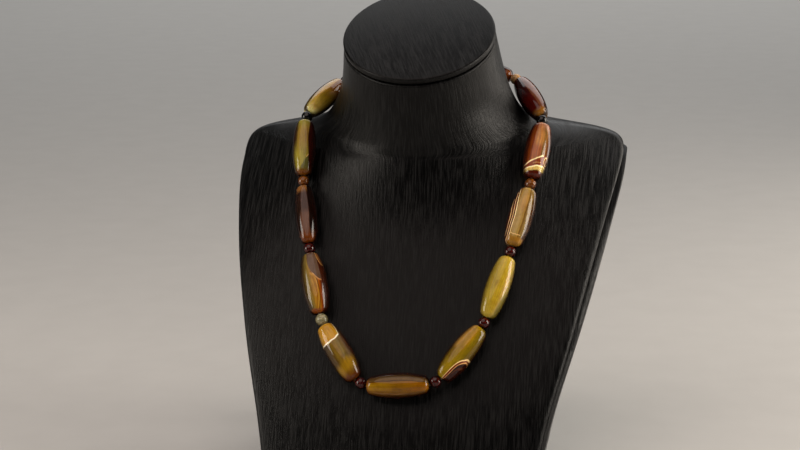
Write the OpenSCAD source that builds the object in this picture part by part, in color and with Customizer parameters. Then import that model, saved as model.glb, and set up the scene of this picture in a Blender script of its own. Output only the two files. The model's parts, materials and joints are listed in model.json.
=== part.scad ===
// Necklace of long agate beads and small round beads, shown on a plain black neck bust.
// Millimetres, +Z up, the front of the chest faces -Y and +X is the viewer's right.
// The origin lies on the bench, under the middle of the whole.

/* [Bust] */
// Width across the bottom edge
base_w = 125; // [115:1:130]
// Width across the shoulders
shoulder_w = 190; // [186:1:192]
// Height of the ridge of the shoulders
shoulder_h = 144; // [143:0.5:145]
// Width of the neck under its lid
neck_w = 73; // [71:0.5:75]
// Height of the middle of the neck's slanted top
neck_h = 198; // [197:1:206]
// Slant of the neck's top towards the front
neck_slant = 29; // [24:1:32]
// Depth of the base from the chest's lower edge to the rear
base_depth = 113.5; // [100:0.5:120]
// Depth of the rounded rim at the rear edge of the front shell
rim_d = 5; // [4:0.5:6]
// Gap between the front shell and the back
shell_gap = 0.3; // [0.2:0.1:0.5]

/* [Lid] */
// Thickness of the lid with its groove
lid_t = 4; // [3:0.5:6]
// Height of the groove between the neck and the lid
groove_h = 1.2; // [0.8:0.1:1.6]
// How far the groove goes in from the lid's edge
groove_d = 2; // [1:0.5:4]
// Rounding of the lid's edge
lid_round = 0.5; // [0.3:0.1:0.8]

/* [Long beads] */
// Length of the middle bead
middle_l = 29; // [28:0.5:30]
// Greatest diameter of the middle bead
middle_d = 12; // [11:0.1:12.3]
// Diameter at the ends as a share of the greatest diameter
end_share = 0.58; // [0.5:0.01:0.62]
// Rounding of the end edges
end_round = 1.6; // [1:0.1:1.8]

/* [Round beads] */
// Diameter of a small round bead
round_d = 5.5; // [5.2:0.1:5.8]
// Diameter of the larger smoky round bead
smoky_d = 6; // [5.5:0.1:6.2]

/* [String] */
// Diameter of the hole through every bead
bore_d = 1.6; // [1.2:0.1:1.8]
// Diameter of the thread
thread_d = 0.8; // [0.5:0.1:0.9]
// Clearance between one bead and the next
bead_gap = 0.12; // [0.1:0.01:0.2]
// Greatest diameter of the clasp
clasp_d = 5; // [4:0.1:5.4]
// How far the thread goes into each end of the clasp
thread_grip = 3.5; // [2:0.5:4]

/* [Hidden] */
$fn = 64;

// Sections of the front shell and neck, from the bench up.
// Each is two half outlines that meet at the half width: one bulges to the front, one to the rear.
// Columns: height, y of the meeting line, slant, half width, front depth, rear depth,
// fullness of the front, fullness of the rear, where 0.5 is an ellipse and less is squarer.
FRONT_SECTIONS = [
    [0, -8.5, 0, base_w / 2, 7, rim_d, 0.8, 0.1],
    [30, 3, 0, 68, 6, rim_d, 0.8, 0.1],
    [60, 20, 0, 76.5, 7, rim_d, 0.8, 0.1],
    [90, 41.5, 0, 84, 12, rim_d, 0.85, 0.1],
    [115, 67, 0, 90, 25, rim_d, 0.95, 0.1],
    [132, 91, 0, 94, 44, rim_d + 1, 1.1, 0.1],
    [shoulder_h, 110, 1, shoulder_w / 2, 61, 10, 1.2, 0.1],
    [150, 111, 4, 85.5, 61.5, 15, 1.15, 0.25],
    [155, 101, 7, 62.5, 52, 21.7, 0.85, 0.45],
    [160, 89.5, 10, 49, 41, 29.4, 0.68, 0.5],
    [172, 86, 15, 42, 40, 30, 0.6, 0.5],
    [183, 83, 20, 39, 39.5, 30.3, 0.5, 0.5],
    [192, 78, 25, 37.5, 37.5, 33.7, 0.5, 0.5],
    [neck_h, 74.5, neck_slant, neck_w / 2, neck_w / 2, neck_w / 2, 0.5, 0.5],
];
HEIGHT = 0;
LINE_Y = 1;
SLANT = 2;
HALF_W = 3;
FRONT_D = 4;
REAR_D = 5;
FRONT_Q = 6;
REAR_Q = 7;

// Sections of the back, which fills the space behind the front shell. Same columns.
// Its front face lies the rim and the gap behind the shell's line, and its sides swell out behind that.
base_rear = FRONT_SECTIONS[0][LINE_Y] - FRONT_SECTIONS[0][FRONT_D] + base_depth;
back_swell = 13;
BACK_SECTIONS = [
    back_behind(FRONT_SECTIONS[0], 0, 1.2, base_rear, 0.42),
    back_behind(FRONT_SECTIONS[1], 0, 1.6, base_rear + 7, 0.4),
    back_behind(FRONT_SECTIONS[2], 0, 2.2, base_rear + 13, 0.33),
    back_behind(FRONT_SECTIONS[3], 1, 2.8, base_rear + 19, 0.25),
    back_behind(FRONT_SECTIONS[4], 6, 3, base_rear + 24, 0.25),
    back_section(126.7, 89.5, 15, 95.8, 123.3, 0.25),
    back_section(134.1, 102.1, 25, 96.3, 123.8, 0.25),
];

function back_section(height, face_y, slant, half_w, rear_y, rear_q) = [
    height + back_swell * sin(slant),
    face_y + back_swell * cos(slant),
    slant,
    half_w,
    back_swell,
    (rear_y - face_y) / cos(slant) - back_swell,
    0.1,
    rear_q,
];
function back_behind(front, slant, wider, rear_y, rear_q) =
    back_section(
        front[HEIGHT],
        front[LINE_Y] + rim_d + shell_gap,
        slant,
        front[HALF_W] + wider,
        rear_y,
        rear_q
    );

// Points round one section, and how many smooth steps lead from one row to the next
ring_points = 64;
steps_between = 3;

// Long beads of each side, from the middle bead outwards; the last one lies behind the neck.
// Turn is the heading seen from above, from straight out to the side (0) round to the rear (90).
// Columns: turn, rise, length, greatest diameter, colour.
LONG_RIGHT = [
    [39, 44.5, 29.5, 12, "#9a7a2c"],
    [62.5, 55, 30.5, 11.6, "#a08030"],
    [71, 52, 30, 11.6, "#a5793c"],
    [81.5, 48.5, 30, 12.2, "#7a3514"],
    [116.8, 22.8, 32.5, 11.2, "#5a3322"],
    [164, 10, 25.5, 9.8, "#6e4530"],
];
LONG_LEFT = [
    [35.5, 47, 30, 12, "#8a6a48"],
    [65, 53.5, 30.5, 12.2, "#946018"],
    [72, 51, 30.5, 10.4, "#54362a"],
    [82, 52, 30, 11.4, "#7c5a22"],
    [110.2, 19, 31.5, 10.8, "#9c8a3c"],
    [165.3, 13.3, 25.5, 9.8, "#8a6a30"],
];
TURN = 0;
RISE = 1;
LONG_L = 2;
LONG_D = 3;
TINT = 4;
long_count = len(LONG_RIGHT);
MIDDLE_TINT = "#94601c";

// Small round beads of each side: one before each long bead, then two beside the clasp.
// Columns: diameter, colour.
ROUND_RIGHT = [
    [round_d, "#501818"],
    [round_d, "#5c1010"],
    [round_d, "#501818"],
    [round_d, "#96541c"],
    [round_d, "#101010"],
    [round_d, "#d2a064"],
    [round_d, "#501818"],
    [round_d, "#101010"],
];
ROUND_LEFT = [
    [round_d, "#501818"],
    [smoky_d, "#5c5640"],
    [round_d, "#501818"],
    [round_d, "#96541c"],
    [round_d, "#101010"],
    [round_d, "#5c1010"],
    [round_d, "#501818"],
    [round_d, "#101010"],
];
ROUND_D = 0;
ROUND_TINT = 1;
round_count = len(ROUND_RIGHT);

// The middle bead lies on the chest, its right end a little higher
middle_place = [0.5, -0.5, 48.5];
middle_tilt = 3.5;
middle_axis = [cos(middle_tilt), 0, sin(middle_tilt)];

function unit(v) = v / norm(v);
function flat(lists) = [for (list = lists) each list];

// A section part way between two rows, on a smooth curve through all rows
function between(rows, i, t) =
    let (
        before = rows[max(i - 1, 0)],
        low = rows[i],
        high = rows[i + 1],
        after = rows[min(i + 2, len(rows) - 1)]
    )
    low + t / 2 * (high - before
        + t * (2 * before - 5 * low + 4 * high - after + t * (3 * (low - high) + after - before)));
function smoothed(rows) = concat(
    [for (i = [0:len(rows) - 2], k = [0:steps_between - 1]) between(rows, i, k / steps_between)],
    [rows[len(rows) - 1]]
);

// The outline of one section as a ring of points
function outline(section) = [
    for (i = [0:ring_points - 1])
        let (
            a = 360 * i / ring_points,
            depth = sin(a) < 0 ? -section[FRONT_D] : section[REAR_D],
            fullness = sin(a) < 0 ? section[FRONT_Q] : section[REAR_Q],
            y = depth * pow(abs(sin(a)), 2 * fullness)
        )
        [
            section[HALF_W] * cos(a),
            section[LINE_Y] + y * cos(section[SLANT]),
            section[HEIGHT] + y * sin(section[SLANT]),
        ]
];

// A closed skin over rings that have the same number of points
module skin(rings) {
    n = len(rings[0]);
    last = (len(rings) - 1) * n;
    sides = [
        for (r = [0:len(rings) - 2], i = [0:n - 1])
            let (j = (i + 1) % n)
            [r * n + i, (r + 1) * n + i, (r + 1) * n + j, r * n + j]
    ];
    low_end = [for (i = [0:n - 1]) i];
    high_end = [for (i = [0:n - 1]) last + n - 1 - i];
    polyhedron(flat(rings), concat([low_end], sides, [high_end]), convexity = 6);
}

// How one side of the string runs: side is 1 on the right and -1 on the left, and bead 0 is the middle one
function long_row(side, k) = side > 0 ? LONG_RIGHT[k - 1] : LONG_LEFT[k - 1];
function round_row(side, k) = side > 0 ? ROUND_RIGHT[k - 1] : ROUND_LEFT[k - 1];
function radius(side, k) = round_row(side, k)[ROUND_D] / 2;
function heading(side, turn, rise) = [side * cos(turn) * cos(rise), sin(turn) * cos(rise), sin(rise)];
function long_axis(side, k) =
    k == 0 ? side * middle_axis : heading(side, long_row(side, k)[TURN], long_row(side, k)[RISE]);
function round_axis(side, k) = unit(long_axis(side, k - 1) + long_axis(side, k));

// Room that a round bead needs beside a face that leans away from it
function lean_gap(r, axis, face) = r * (1 / (axis * face) - 1) + bead_gap;
function round_step(side, k) =
    radius(side, k) + lean_gap(radius(side, k), round_axis(side, k), long_axis(side, k));

function long_start(side, k) = long_end(side, k - 1) + 2 * round_axis(side, k) * round_step(side, k);
function long_end(side, k) =
    k == 0
        ? middle_place + side * middle_axis * middle_l / 2
        : long_start(side, k) + long_axis(side, k) * long_row(side, k)[LONG_L];
function round_centre(side, k) =
    k <= long_count
        ? long_end(side, k - 1) + round_axis(side, k) * round_step(side, k)
        : tail_centre(side, k - long_count);

// Two round beads turn the string evenly into the clasp
function clasp_axis(side) = [-side, 0, 0];
function tail_axis(side, k) = unit((3 - k) * long_axis(side, long_count) + k * clasp_axis(side));
function tail_gap(side, k) =
    lean_gap(
        radius(side, long_count + k),
        tail_axis(side, k),
        k == 1 ? long_axis(side, long_count) : clasp_axis(side)
    );
function tail_half(side, k) = radius(side, long_count + k) + bead_gap / 2;
function tail_centre(side, k) =
    k == 1
        ? long_end(side, long_count)
            + tail_axis(side, 1) * (radius(side, long_count + 1) + tail_gap(side, 1))
        : tail_turn(side) + tail_axis(side, 2) * tail_half(side, 2);
function tail_turn(side) = tail_centre(side, 1) + tail_axis(side, 1) * tail_half(side, 1);
function tail_end(side) =
    tail_centre(side, 2) + tail_axis(side, 2) * (radius(side, long_count + 2) + tail_gap(side, 2));

// The clasp takes up the room between the last two beads, and narrows at both ends
clasp_end_d = 3.6;
clasp_taper = 1.5;
clasp_from = tail_end(-1);
clasp_to = tail_end(1);
clasp_run = unit(clasp_to - clasp_from);
clasp_l = norm(clasp_to - clasp_from);

// The corners of the thread's route, from one end of the clasp round to the other
function side_route(side) = concat(
    flat([for (k = [1:long_count]) [long_end(side, k - 1), long_start(side, k)]]),
    [long_end(side, long_count), tail_turn(side), tail_end(side)],
    [tail_end(side) - side * clasp_run * thread_grip]
);
function reversed(list) = [for (i = [len(list) - 1:-1:0]) list[i]];
thread_route = concat(reversed(side_route(-1)), side_route(1));
thread_sides = 8;
thread_across = unit([0, 1, -1]);
thread_last = len(thread_route) - 1;
function thread_step(i) = unit(thread_route[i + 1] - thread_route[i]);
function thread_run(i) = unit(thread_step(max(i - 1, 0)) + thread_step(min(i, thread_last - 1)));
function thread_ring(i) =
    let (u = unit(cross(thread_run(i), thread_across)), v = cross(thread_run(i), u))
    [
        for (s = [0:thread_sides - 1])
            let (a = -360 * s / thread_sides)
            thread_route[i] + thread_d / 2 * (u * cos(a) + v * sin(a))
    ];

// The whole is moved along Y so that the origin lies under its middle
function rear_y(section) = section[LINE_Y] + section[REAR_D] * cos(section[SLANT]);
front_most = FRONT_SECTIONS[0][LINE_Y] - FRONT_SECTIONS[0][FRONT_D];
rear_most = max(concat(
    [for (section = concat(smoothed(FRONT_SECTIONS), smoothed(BACK_SECTIONS))) rear_y(section)],
    [for (side = [-1, 1], k = [long_count + 1:round_count]) round_centre(side, k).y + radius(side, k)],
    [
        for (barrel_end = [clasp_from + clasp_run * clasp_taper, clasp_to - clasp_run * clasp_taper])
            barrel_end.y + clasp_d / 2 * norm([clasp_run.x, clasp_run.z])
    ]
));
middle_y = (front_most + rear_most) / 2;

module placed() {
    translate([0, -middle_y, 0]) children();
}

// Sets the shape's own Z axis along the given run
module along(place, run) {
    translate(place) rotate([0, acos(run.z), atan2(run.y, run.x)]) children();
}

module bust_front() {
    color("#222222") placed() skin([for (section = smoothed(FRONT_SECTIONS)) outline(section)]);
}

module bust_back() {
    color("#1c1c1c") placed() skin([for (section = smoothed(BACK_SECTIONS)) outline(section)]);
}

// A disc that leaves a narrow groove above the neck
module bust_lid() {
    top = FRONT_SECTIONS[len(FRONT_SECTIONS) - 1];
    r = neck_w / 2;
    foot_r = r - groove_d;
    color("#2a2a2a") placed() translate([0, top[LINE_Y], top[HEIGHT]]) rotate([neck_slant, 0, 0]) {
        translate([0, 0, shell_gap]) cylinder(h = lid_t - shell_gap, r = foot_r);
        translate([0, 0, groove_h]) cylinder(h = lid_t - groove_h - lid_round, r = r);
        translate([0, 0, lid_t - lid_round]) cylinder(h = lid_round, r1 = r, r2 = r - lid_round);
    }
}

// Half width of a long bead at a distance from its middle
belly_steps = 28;
function belly(r, half_l, z) =
    let (
        over = max(abs(z) - half_l + end_round, 0),
        edge = end_round - sqrt(end_round * end_round - over * over)
    )
    r * (1 - (1 - end_share) * pow(z / half_l, 2)) - edge;

// Stations lie closer together towards the ends
function station(half_l, i) = -half_l * cos(180 * i / belly_steps);

module long_bead(l, d) {
    rotate_extrude() polygon(concat(
        [for (i = [0:belly_steps]) [belly(d / 2, l / 2, station(l / 2, i)), station(l / 2, i)]],
        [[bore_d / 2, l / 2], [bore_d / 2, -l / 2]]
    ));
}

module round_bead(d) {
    difference() {
        sphere(d = d);
        cylinder(h = 2 * d, d = bore_d, center = true);
    }
}

module long_bead_middle() {
    color(MIDDLE_TINT) placed() along(middle_place, middle_axis) long_bead(middle_l, middle_d);
}

module side_long_bead(side, k) {
    row = long_row(side, k);
    place = (long_start(side, k) + long_end(side, k)) / 2;
    color(row[TINT]) placed() along(place, long_axis(side, k)) long_bead(row[LONG_L], row[LONG_D]);
}

module side_round_bead(side, k) {
    row = round_row(side, k);
    run = k <= long_count ? round_axis(side, k) : tail_axis(side, k - long_count);
    color(row[ROUND_TINT]) placed() along(round_centre(side, k), run) round_bead(row[ROUND_D]);
}

// A plain metal barrel whose two ends take the thread
module clasp() {
    barrel_l = clasp_l - 2 * clasp_taper;
    color("#b9b5ac") placed() along((clasp_from + clasp_to) / 2, clasp_run) difference() {
        rotate_extrude() polygon([
            [0, -clasp_l / 2],
            [clasp_end_d / 2, -clasp_l / 2],
            [clasp_d / 2, -barrel_l / 2],
            [clasp_d / 2, barrel_l / 2],
            [clasp_end_d / 2, clasp_l / 2],
            [0, clasp_l / 2],
        ]);
        for (end = [0, 1]) mirror([0, 0, end]) translate([0, 0, clasp_l / 2 - thread_grip - 0.5])
            cylinder(h = clasp_l, d = bore_d);
    }
}

module thread() {
    color("#3a2c20") placed() skin([for (i = [0:thread_last]) thread_ring(i)]);
}

bust_front();
bust_back();
bust_lid();
long_bead_middle();
for (k = [1:long_count]) {
    side_long_bead(1, k);
    side_long_bead(-1, k);
}
for (k = [1:round_count]) {
    side_round_bead(1, k);
    side_round_bead(-1, k);
}
clasp();
thread();
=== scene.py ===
"""Agate bead necklace on a black neck bust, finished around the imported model."""

import json
import math

import bmesh
import bpy
import numpy as np
from mathutils import Matrix, Vector


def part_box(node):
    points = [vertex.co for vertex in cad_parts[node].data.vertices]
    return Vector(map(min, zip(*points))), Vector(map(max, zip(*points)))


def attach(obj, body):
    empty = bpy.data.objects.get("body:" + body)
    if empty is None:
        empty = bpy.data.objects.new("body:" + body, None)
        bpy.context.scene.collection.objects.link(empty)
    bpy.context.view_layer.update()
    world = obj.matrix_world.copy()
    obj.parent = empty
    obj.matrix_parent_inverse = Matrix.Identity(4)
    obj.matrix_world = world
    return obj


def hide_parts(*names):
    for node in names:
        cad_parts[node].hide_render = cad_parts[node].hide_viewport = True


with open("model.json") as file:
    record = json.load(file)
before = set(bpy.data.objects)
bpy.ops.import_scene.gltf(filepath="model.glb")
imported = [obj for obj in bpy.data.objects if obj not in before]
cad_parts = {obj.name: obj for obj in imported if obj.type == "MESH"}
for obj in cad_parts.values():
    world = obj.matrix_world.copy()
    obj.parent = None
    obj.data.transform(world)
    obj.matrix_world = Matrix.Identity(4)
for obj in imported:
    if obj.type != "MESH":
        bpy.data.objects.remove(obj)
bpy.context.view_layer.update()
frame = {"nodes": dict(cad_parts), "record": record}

MM = 0.001
BODY = "root"
NODES = frame["nodes"]
SLOTS = {part["node"]: part["material_slot"] for part in frame["record"]["subparts"]}

# The camera stands a little to the right of the chest and looks slightly down
CAMERA_TURN = math.radians(10.38)
CAMERA_DROP = math.radians(12)
CAMERA_ROLL = math.radians(0.94)
CAMERA_DISTANCE = 0.95
CAMERA_TARGET = Vector((0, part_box("bust_front")[0][1] + 0.0295, 0.1206))
CAMERA_LENS = 93.47
VIEW = Vector((
    -math.sin(CAMERA_TURN) * math.cos(CAMERA_DROP),
    math.cos(CAMERA_TURN) * math.cos(CAMERA_DROP),
    -math.sin(CAMERA_DROP),
))


# Node trees

FLOAT = "NodeSocketFloat"
COLOUR = "NodeSocketColor"


class Wire:
    """A socket of a node tree; arithmetic with it makes Math nodes."""

    def __init__(self, tree, socket):
        self.tree = tree
        self.socket = socket

    def math(self, operation, *others):
        """This wire, then the others, through a Math node."""
        return calculate(self.tree, operation, self, *others)

    def __add__(self, other):
        return self.math("ADD", other)

    def __sub__(self, other):
        return self.math("SUBTRACT", other)

    def __rsub__(self, other):
        return calculate(self.tree, "SUBTRACT", other, self)

    def __mul__(self, other):
        return self.math("MULTIPLY", other)

    def __truediv__(self, other):
        return self.math("DIVIDE", other)

    def __rtruediv__(self, other):
        return calculate(self.tree, "DIVIDE", other, self)

    def __pow__(self, other):
        return self.math("POWER", other)

    def __neg__(self):
        return self.math("MULTIPLY", -1.0)

    __radd__ = __add__
    __rmul__ = __mul__

    def size(self):
        """The value without its sign."""
        return self.math("ABSOLUTE")

    def fade(self, low, high):
        """0 at low and 1 at high, with a smooth step between."""
        node = self.tree.nodes.new("ShaderNodeMapRange")
        node.interpolation_type = "SMOOTHSTEP"
        for name, value in (("Value", self), ("From Min", low), ("From Max", high)):
            plug(value, node.inputs[name])
        return Wire(self.tree, node.outputs["Result"])


def plug(value, socket):
    """Links a wire to a socket, or sets the socket's own value."""
    if isinstance(value, Wire):
        value.tree.links.new(value.socket, socket)
    else:
        socket.default_value = value


def calculate(tree, operation, *values):
    """A Math node over wires and numbers."""
    node = tree.nodes.new("ShaderNodeMath")
    node.operation = operation
    for socket, value in zip(node.inputs, values):
        plug(value, socket)
    return Wire(tree, node.outputs[0])


def add_node(tree, kind, outlet=0, settings=(), **inlets):
    """A new node's outlet as a wire. Inlets are named with _ for the spaces."""
    node = tree.nodes.new(kind)
    for name, value in dict(settings).items():
        setattr(node, name, value)
    for name, value in inlets.items():
        plug(value, node.inputs[name.replace("_", " ")])
    return Wire(tree, node.outputs[outlet])


def new_group(name, kind, inlets, outlets):
    """A node group with named sockets: the tree, its inlets as wires, and its output node."""
    tree = bpy.data.node_groups.new(name, kind)
    if kind == "GeometryNodeTree":
        tree.is_modifier = True
    for label, (sort, value) in inlets.items():
        socket = tree.interface.new_socket(label, in_out="INPUT", socket_type=sort)
        if value is not None:
            socket.default_value = value
    for label, sort in outlets.items():
        tree.interface.new_socket(label, in_out="OUTPUT", socket_type=sort)
    source = tree.nodes.new("NodeGroupInput")
    sink = tree.nodes.new("NodeGroupOutput")
    return tree, {label: Wire(tree, source.outputs[label]) for label in inlets}, sink


def placed_group(tree, group, **values):
    """A group placed in a shader tree: its outlets as wires by name."""
    node = tree.nodes.new("ShaderNodeGroup")
    node.node_tree = group
    for name, value in values.items():
        plug(value, node.inputs[name])
    return {socket.name: Wire(tree, socket) for socket in node.outputs}


def xyz(vector):
    """The three parts of a vector wire."""
    node = vector.tree.nodes.new("ShaderNodeSeparateXYZ")
    plug(vector, node.inputs[0])
    return [Wire(vector.tree, socket) for socket in node.outputs]


def joined(x, y, z):
    """A vector wire from three parts, of which at least one is a wire."""
    tree = next(part.tree for part in (x, y, z) if isinstance(part, Wire))
    return add_node(tree, "ShaderNodeCombineXYZ", X=x, Y=y, Z=z)


def mixed(tree, share, low, high, blend="MIX"):
    """Two colours mixed by a share."""
    node = tree.nodes.new("ShaderNodeMix")
    node.data_type = "RGBA"
    node.blend_type = blend
    for index, value in ((0, share), (6, low), (7, high)):
        plug(value, node.inputs[index])
    return Wire(tree, node.outputs[2])


def noise(place, scale, detail=2.0, roughness=0.5):
    """Soft noise around 0.5 at a place."""
    return add_node(
        place.tree,
        "ShaderNodeTexNoise",
        "Fac",
        Vector=place,
        Scale=scale,
        Detail=detail,
        Roughness=roughness,
    )


def shade(text):
    """A colour written as a screen colour, in linear light."""
    parts = [int(text[i:i + 2], 16) / 255 for i in (1, 3, 5)]
    return [p / 12.92 if p <= 0.04045 else ((p + 0.055) / 1.055) ** 2.4 for p in parts] + [1.0]


def ramp(factor, stops):
    """A colour ramp through (position, colour) stops."""
    node = factor.tree.nodes.new("ShaderNodeValToRGB")
    strip = node.color_ramp
    while len(strip.elements) < len(stops):
        strip.elements.new(1.0)
    for element, (position, tint) in zip(strip.elements, stops):
        element.position = position
        element.color = shade(tint)
    plug(factor, node.inputs[0])
    return Wire(factor.tree, node.outputs[0])


# The turned bead: a barrel or a ball with a drilled hole, by one rule

MOUTH_RINGS = 4
MOUTH_CHAMFER = 0.25


def turned_bead_tree():
    """A bead turned round Z: a barrel with Roundness 1, a ball with 2. "place" holds half sizes."""
    tree, inlet, sink = new_group(
        "turned_bead",
        "GeometryNodeTree",
        {
            "Geometry": ("NodeSocketGeometry", None),
            "Length": (FLOAT, 0.03),
            "Girth": (FLOAT, 0.011),
            "End Share": (FLOAT, 0.54),
            "Roundness": (FLOAT, 1.0),
            "Fullness": (FLOAT, 2.0),
            "Edge": (FLOAT, 0.0011),
            "Hole": (FLOAT, 0.0016),
            "Rings": ("NodeSocketInt", 56),
            "Sides": ("NodeSocketInt", 64),
            "Material": ("NodeSocketMaterial", None),
        },
        {"Geometry": "NodeSocketGeometry"},
    )
    rings = inlet["Rings"]
    grid = tree.nodes.new("GeometryNodeMeshGrid")
    plug(1.0, grid.inputs["Size X"])
    plug(1.0, grid.inputs["Size Y"])
    plug(rings + (MOUTH_RINGS + 1), grid.inputs["Vertices X"])
    plug(inlet["Sides"] + 1, grid.inputs["Vertices Y"])
    grid_x, grid_y, _ = xyz(add_node(tree, "GeometryNodeInputPosition"))
    column = ((grid_x + 0.5) * (rings + MOUTH_RINGS)).math("ROUND")
    angle = (grid_y + 0.5) * (-2 * math.pi)

    # Columns below Rings lie on the skin, the next four in the hole, and the last is the first again
    past = column - rings
    in_hole = past.math("GREATER_THAN", -0.5) * past.math("LESS_THAN", MOUTH_RINGS - 0.5)
    on_skin = past.math("LESS_THAN", -0.5)

    # Level runs from -1 to 1 along the bead; past the start of its rounded edge the skin turns in
    level = -((column * on_skin / (rings - 1.0)) * math.pi).math("COSINE")
    half = inlet["Length"] * 0.5
    radius = inlet["Girth"] * 0.5
    roundness = inlet["Roundness"]
    edge = inlet["Edge"]
    hollowing = 1.0 - (inlet["End Share"] ** roundness)
    taper = hollowing * (level.size() ** inlet["Fullness"])
    belly = radius * ((1.0 - taper).math("MAXIMUM", 0.0) ** (1.0 / roundness))
    over = (level.size() * half - half + edge).math("MAXIMUM", 0.0)
    skin_r = belly - edge + (edge * edge - over * over).math("MAXIMUM", 0.0).math("SQRT")

    # The hole's two mouths are slightly chamfered
    hole = inlet["Hole"] * 0.5
    end = (1.5 - past).math("SIGN")
    inner = (past - 1.5).size().math("LESS_THAN", 1.0)
    mouth_r = hole * (1.0 + MOUTH_CHAMFER - inner * MOUTH_CHAMFER)
    mouth_z = end * (half - inner * hole * MOUTH_CHAMFER)
    ring_r = skin_r + in_hole * (mouth_r - skin_r)
    x = ring_r * angle.math("COSINE")
    y = ring_r * angle.math("SINE")
    z = level * half + in_hole * (mouth_z - level * half)
    shape = add_node(
        tree,
        "GeometryNodeStoreNamedAttribute",
        settings={"data_type": "FLOAT_VECTOR"},
        Geometry=Wire(tree, grid.outputs["Mesh"]),
        Name="place",
        Value=joined(x / radius, y / radius, z / half),
    )
    shape = add_node(tree, "GeometryNodeSetPosition", Geometry=shape, Position=joined(x, y, z))
    shape = add_node(tree, "GeometryNodeMergeByDistance", Geometry=shape, Distance=1e-6)
    shape = add_node(tree, "GeometryNodeSetShadeSmooth", Geometry=shape)
    shape = add_node(tree, "GeometryNodeRealizeInstances", Geometry=shape)
    shape = add_node(tree, "GeometryNodeSetMaterial", Geometry=shape, Material=inlet["Material"])
    plug(shape, sink.inputs["Geometry"])
    return tree


def grown_mesh(tree, name, **values):
    """Runs a Geometry Nodes tree with the given inputs; the result as a plain mesh."""
    seed = bpy.data.objects.new(name, bpy.data.meshes.new(name))
    bpy.context.scene.collection.objects.link(seed)
    modifier = seed.modifiers.new("make", "NODES")
    modifier.node_group = tree
    for item in tree.interface.items_tree:
        key = item.name.replace(" ", "_")
        if item.in_out == "INPUT" and key in values:
            modifier[item.identifier] = values[key]
    bpy.context.view_layer.update()
    graph = bpy.context.evaluated_depsgraph_get()
    ready = seed.evaluated_get(graph)
    mesh = bpy.data.meshes.new_from_object(ready, preserve_all_data_layers=True, depsgraph=graph)
    bpy.data.objects.remove(seed)
    return mesh


def add_piece(name, mesh, material):
    """The finished mesh as the piece that stands for the CAD node of that name."""
    mesh.name = name
    mesh.materials.clear()
    mesh.materials.append(material)
    if "material_index" in mesh.attributes:
        mesh.attributes.remove(mesh.attributes["material_index"])
    piece = bpy.data.objects.new(name + "_finish", mesh)
    bpy.context.scene.collection.objects.link(piece)
    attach(piece, BODY)
    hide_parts(name)


# How each bead lies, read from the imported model

LONG_COUNT = 6
ROUND_COUNT = 8


def node_centre(node):
    """The middle of a CAD node's box."""
    low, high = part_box(node)
    return (Vector(low) + Vector(high)) / 2


class Lie:
    """The middle, run, half length and girth of a turned piece on the string."""

    def __init__(self, node, towards, run=None):
        """Measured on a CAD node. Its run is its longest direction, or the given one, and leads towards."""
        points = np.array([vertex.co for vertex in NODES[node].data.vertices])
        points = np.unique(points.round(7), axis=0)
        if run is None:
            run = np.linalg.eigh(np.cov((points - points.mean(0)).T))[1][:, 2]
        run = np.array(run) / np.linalg.norm(run)
        if run @ np.array(towards) < 0:
            run = -run
        spread = points @ run
        centre = np.array(node_centre(node))
        centre += run * ((spread.max() + spread.min()) / 2 - centre @ run)
        aside = (points - centre) - np.outer((points - centre) @ run, run)
        self.middle = Vector(centre)
        self.run = Vector(run)
        self.half = float(spread.max() - spread.min()) / 2
        self.girth = 2 * float(np.linalg.norm(aside, axis=1).max())

    def ends(self):
        """The lower and the upper end of the axis."""
        return self.middle - self.run * self.half, self.middle + self.run * self.half

    def matrix(self):
        """Z runs along the piece, and -Y looks to the camera."""
        back = (VIEW - self.run * VIEW.dot(self.run)).normalized()
        turn = Matrix((back.cross(self.run), back, self.run)).transposed()
        return Matrix.Translation(self.middle) @ turn.to_4x4()


def string_side(side):
    """The beads of one side, from the middle bead outwards."""
    order = []
    for number in range(1, ROUND_COUNT + 1):
        order.append(f"round_bead_{side}_{number}")
        if number <= LONG_COUNT:
            order.append(f"long_bead_{side}_{number}")
    return order


def nearest_place(lies, name, centre):
    """The end of a long piece that is nearest to the centre, or a round bead's own middle."""
    if name.startswith("round"):
        return node_centre(name)
    return min(lies[name].ends(), key=lambda end: (end - centre).length)


def string_lies():
    """How every bead lies; runs lead up each side, away from the middle bead."""
    right = Vector((1, 0, 0))
    lies = {name: Lie(name, right) for name in ("long_bead_middle", "clasp")}
    for side, sign in (("left", -1), ("right", 1)):
        order = string_side(side)
        for name in order:
            if name.startswith("long"):
                rear = name.endswith(str(LONG_COUNT))
                lies[name] = Lie(name, Vector((-sign, 1, 0) if rear else (sign, 1, 1)))
        chain = ["long_bead_middle", *order, "clasp"]
        for before, name, after in zip(chain, chain[1:], chain[2:]):
            if name.startswith("round"):
                held = [nearest_place(lies, other, node_centre(name)) for other in (before, after)]
                lies[name] = Lie(name, held[1] - held[0], held[1] - held[0])
    return lies


# Agate

# Each stone is darker down its two sides, which is painted shade: where that starts, from 0 at its front
# and rear to 1 at its sides, and how strong it gets
SIDE_SHADE_START = 0.12
SIDE_SHADE_STRENGTH = 0.95
SIDE_SHADE_TINT = "#200a03"

# How far small waves move a stone's pattern, in half sizes of the bead
RIPPLE = 0.02


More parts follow.
